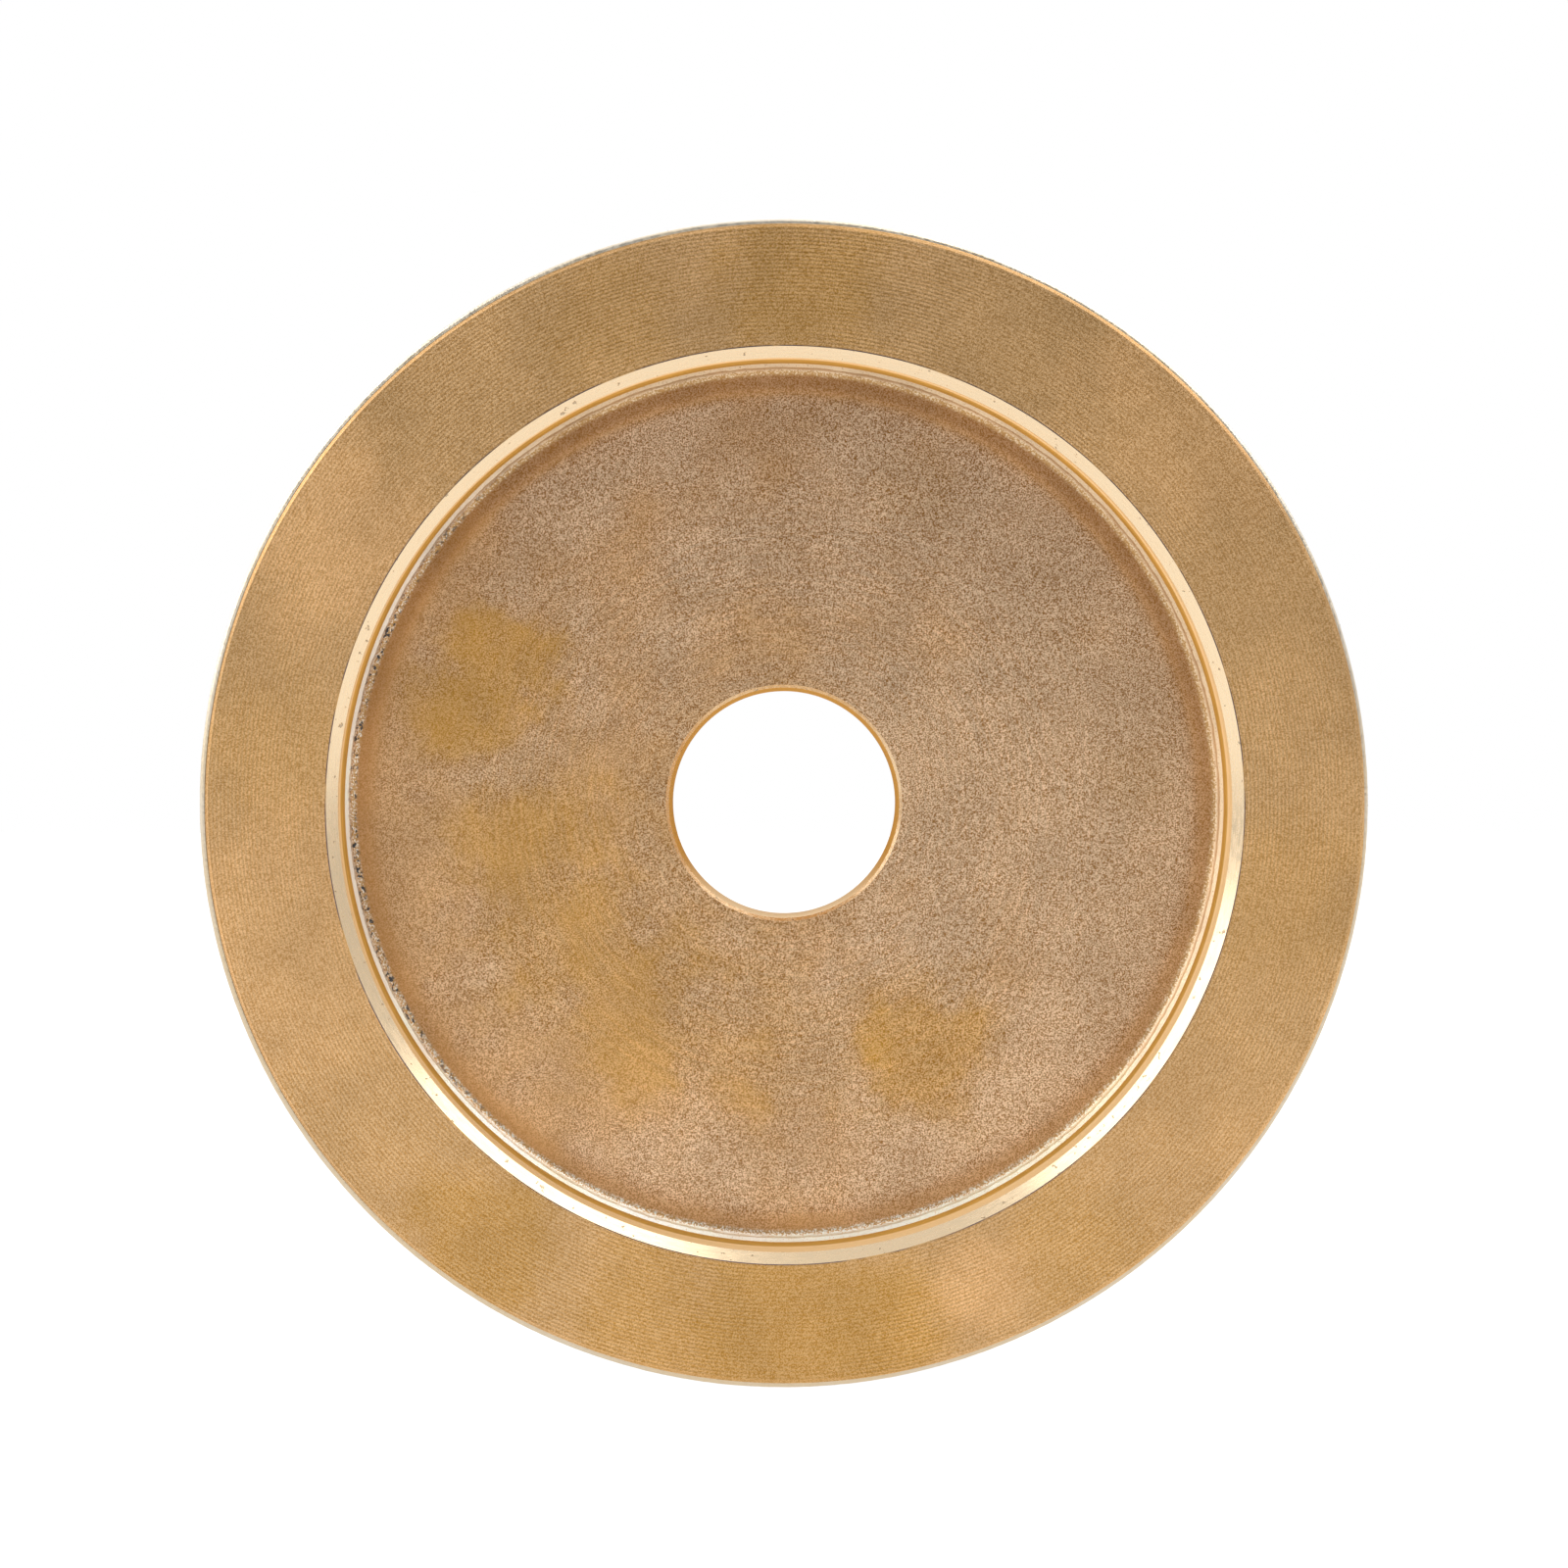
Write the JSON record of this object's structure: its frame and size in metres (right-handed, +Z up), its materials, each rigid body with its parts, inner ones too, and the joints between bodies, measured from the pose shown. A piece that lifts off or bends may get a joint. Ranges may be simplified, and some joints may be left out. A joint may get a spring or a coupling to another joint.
{
  "type": "diamond grinding wheel",
  "caption": "Gold-coloured steel wheel, recessed on both sides round a plain central bore, with diamond grit plated round its rim, for grinding stone and gems.",
  "frame": {"origin": "wheel's centre: middle of the bore, midway between the two side faces", "axes": "+Y along the bore axis towards the back, -Y towards the front face, +X right and +Z up as the front is seen"},
  "size_m": [0.0999, 0.02, 0.1],
  "materials": {
    "gold_steel": "satin",
    "nickel": "satin",
    "diamond": "satin"
  },
  "bodies": {
    "root": {"wheel_body": "gold_steel", "nickel_bond": "nickel", "diamond_grit_01": "diamond", "diamond_grit_02": "diamond", "diamond_grit_03": "diamond", "diamond_grit_04": "diamond", "diamond_grit_05": "diamond", "diamond_grit_06": "diamond", "diamond_grit_07": "diamond", "diamond_grit_08": "diamond", "diamond_grit_09": "diamond", "diamond_grit_10": "diamond", "diamond_grit_11": "diamond", "diamond_grit_12": "diamond"}
  },
  "joints": []
}
